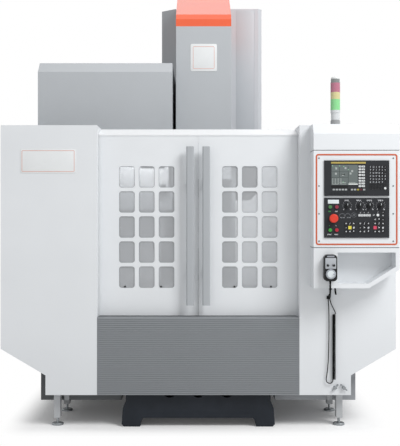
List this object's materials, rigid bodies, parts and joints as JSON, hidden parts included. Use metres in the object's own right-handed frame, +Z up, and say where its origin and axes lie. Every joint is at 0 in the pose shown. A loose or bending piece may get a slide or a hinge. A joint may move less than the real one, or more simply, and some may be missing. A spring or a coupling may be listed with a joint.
{
  "type": "cnc machining center",
  "caption": "Vertical machining center in a white sheet-metal cabin with sliding doors, operator panel, tool magazine and spindle head.",
  "frame": {"origin": "middle of the foundation bolt pattern, on the floor", "axes": "+Z up, +Y to the rear, +X to the operator's right"},
  "size_m": [2.51, 2.6899, 3.03],
  "materials": {
    "white_paint": "powder coat, fine texture",
    "grey_paint": "powder coat, fine texture",
    "slate_paint": "powder coat on a ribbed sheet",
    "orange_paint": "gloss enamel",
    "dark_casting": "enamelled casting",
    "grey_casting": "enamelled casting",
    "ground_steel": "ground",
    "stainless_sheet": "brushed",
    "galvanised": "zinc coat",
    "black_motor": "semi-gloss",
    "glazing": "polycarbonate, polished",
    "black_plastic": "fine texture",
    "key_plastic": "membrane foil",
    "red_plastic": "polished",
    "green_plastic": "polished",
    "lamp_plastic": "clear and tinted polycarbonate",
    "cord_rubber": "satin"
  },
  "bodies": {
    "machine_frame": {"base_casting": "dark_casting", "column_casting": "grey_casting", "guide_rails": "ground_steel", "levelling_feet": "galvanised", "coolant_tank": "galvanised", "drain_levers": "galvanised", "axis_motors": "black_motor", "front_panel_left": "white_paint", "front_panel_right": "white_paint", "door_header": "white_paint", "side_panels": "white_paint", "operator_box": "white_paint", "column_cover": "grey_paint", "magazine_cover": "grey_paint", "enclosure_legs": "grey_paint", "electrical_cabinet": "grey_paint", "lower_apron": "slate_paint", "display_unit": "black_plastic", "machine_panel": "black_plastic", "pendant_body": "black_plastic", "panel_keys": "key_plastic", "tower_light": "lamp_plastic", "cord_fittings": "cord_rubber", "pendant_cord_top": "cord_rubber", "pendant_cord_coil": "cord_rubber", "pendant_cord_bottom": "cord_rubber"},
    "saddle_unit": {"saddle": "grey_casting", "x_servo_motor": "black_motor", "y_cover_inner": "stainless_sheet"},
    "table_unit": {"table": "ground_steel", "x_way_covers": "stainless_sheet"},
    "y_cover_pair": {"y_cover_middle": "stainless_sheet"},
    "y_screw": {"y_ballscrew": "ground_steel"},
    "x_screw": {"x_ballscrew": "ground_steel"},
    "z_screw": {"z_ballscrew": "ground_steel"},
    "head": {"headstock": "grey_casting", "head_cover": "grey_paint", "head_cap": "orange_paint", "z_way_cover": "stainless_sheet"},
    "spindle_shaft": {"spindle": "ground_steel"},
    "magazine_carriage": {"magazine_slide": "grey_paint"},
    "carousel": {"tool_carousel": "black_plastic"},
    "left_door": {"door_left": "white_paint", "door_glazing_left": "glazing", "door_handle_left": "grey_paint"},
    "right_door": {"door_right": "white_paint", "door_glazing_right": "glazing", "door_handle_right": "grey_paint"},
    "estop": {"estop_button": "red_plastic"},
    "power_on": {"power_on_button": "green_plastic"},
    "power_off": {"power_off_button": "red_plastic"},
    "cycle_start": {"cycle_start_button": "green_plastic"},
    "feed_hold": {"feed_hold_button": "red_plastic"},
    "mode_selector": {"mode_knob": "black_plastic"},
    "feed_selector": {"feed_knob": "black_plastic"},
    "rapid_selector": {"rapid_knob": "black_plastic"},
    "speed_selector": {"speed_knob": "black_plastic"},
    "pulse_dial": {"pendant_dial": "key_plastic"},
    "rear_door": {"cabinet_door": "grey_paint"},
    "isolator": {"main_switch": "black_plastic"}
  },
  "joints": [
    {"name": "y_feed", "type": "slide", "parent": "machine_frame", "child": "saddle_unit", "axis": [0, 1, 0], "range_m": [-0.25, 0.25]},
    {"name": "x_feed", "type": "slide", "parent": "saddle_unit", "child": "table_unit", "axis": [1, 0, 0], "range_m": [-0.4, 0.4]},
    {"name": "z_feed", "type": "slide", "parent": "machine_frame", "child": "head", "axis": [0, 0, 1], "range_m": [-0.5, 0]},
    {"name": "y_cover_slide", "type": "slide", "parent": "machine_frame", "child": "y_cover_pair", "axis": [0, 1, 0], "range_m": [-0.125, 0.125]},
    {"name": "y_screw_turn", "type": "hinge", "parent": "machine_frame", "child": "y_screw", "pos_m": [0, 0, 0.5], "axis": [0, 1, 0], "continuous": true},
    {"name": "x_screw_turn", "type": "hinge", "parent": "saddle_unit", "child": "x_screw", "pos_m": [0, -0.18, 0.714], "axis": [1, 0, 0], "continuous": true},
    {"name": "z_screw_turn", "type": "hinge", "parent": "machine_frame", "child": "z_screw", "pos_m": [0, 0.372, 1.6], "axis": [0, 0, 1], "continuous": true},
    {"name": "spindle_turn", "type": "hinge", "parent": "head", "child": "spindle_shaft", "pos_m": [0, -0.18, 1.475], "axis": [0, 0, 1], "continuous": true},
    {"name": "magazine_shift", "type": "slide", "parent": "machine_frame", "child": "magazine_carriage", "axis": [1, 0, 0], "range_m": [0, 0.24]},
    {"name": "carousel_turn", "type": "hinge", "parent": "magazine_carriage", "child": "carousel", "pos_m": [-0.57, -0.18, 1.44], "axis": [0, 0, 1], "continuous": true},
    {"name": "left_door_slide", "type": "slide", "parent": "machine_frame", "child": "left_door", "axis": [-1, 0, 0], "range_m": [0, 0.55]},
    {"name": "right_door_slide", "type": "slide", "parent": "machine_frame", "child": "right_door", "axis": [1, 0, 0], "range_m": [0, 0.55]},
    {"name": "estop_press", "type": "slide", "parent": "machine_frame", "child": "estop", "axis": [0, 1, 0], "range_m": [0, 0.004]},
    {"name": "power_on_press", "type": "slide", "parent": "machine_frame", "child": "power_on", "axis": [0, 1, 0], "range_m": [0, 0.003], "stiffness_N_per_m": 300},
    {"name": "power_off_press", "type": "slide", "parent": "machine_frame", "child": "power_off", "axis": [0, 1, 0], "range_m": [0, 0.003], "stiffness_N_per_m": 300},
    {"name": "cycle_start_press", "type": "slide", "parent": "machine_frame", "child": "cycle_start", "axis": [0, 1, 0], "range_m": [0, 0.003], "stiffness_N_per_m": 300},
    {"name": "feed_hold_press", "type": "slide", "parent": "machine_frame", "child": "feed_hold", "axis": [0, 1, 0], "range_m": [0, 0.003], "stiffness_N_per_m": 300},
    {"name": "mode_knob_turn", "type": "hinge", "parent": "machine_frame", "child": "mode_selector", "pos_m": [0.915, -1.274, 1.414], "axis": [0, -1, 0], "range_deg": [-135, 135]},
    {"name": "feed_knob_turn", "type": "hinge", "parent": "machine_frame", "child": "feed_selector", "pos_m": [0.993, -1.274, 1.414], "axis": [0, -1, 0], "range_deg": [-135, 135]},
    {"name": "rapid_knob_turn", "type": "hinge", "parent": "machine_frame", "child": "rapid_selector", "pos_m": [1.052, -1.274, 1.414], "axis": [0, -1, 0], "range_deg": [-135, 135]},
    {"name": "speed_knob_turn", "type": "hinge", "parent": "machine_frame", "child": "speed_selector", "pos_m": [1.121, -1.274, 1.414], "axis": [0, -1, 0], "range_deg": [-135, 135]},
    {"name": "pulse_dial_turn", "type": "hinge", "parent": "machine_frame", "child": "pulse_dial", "pos_m": [0.808, -1.317, 0.996], "axis": [0, -1, 0], "continuous": true},
    {"name": "cabinet_door_swing", "type": "hinge", "parent": "machine_frame", "child": "rear_door", "pos_m": [0.458, 1.3033, 1.4], "axis": [0, 0, -1], "range_deg": [0, 110]},
    {"name": "isolator_turn", "type": "hinge", "parent": "rear_door", "child": "isolator", "pos_m": [-0.35, 1.3126, 1.5], "axis": [0, 1, 0], "range_deg": [0, 90]}
  ],
  "couplings": [
    {"joint": "y_cover_slide", "follows": "y_feed", "ratio": 0.5},
    {"joint": "y_screw_turn", "follows": "y_feed", "rad_per_m": -314.16},
    {"joint": "x_screw_turn", "follows": "x_feed", "rad_per_m": -314.16},
    {"joint": "z_screw_turn", "follows": "z_feed", "rad_per_m": -314.16}
  ]
}
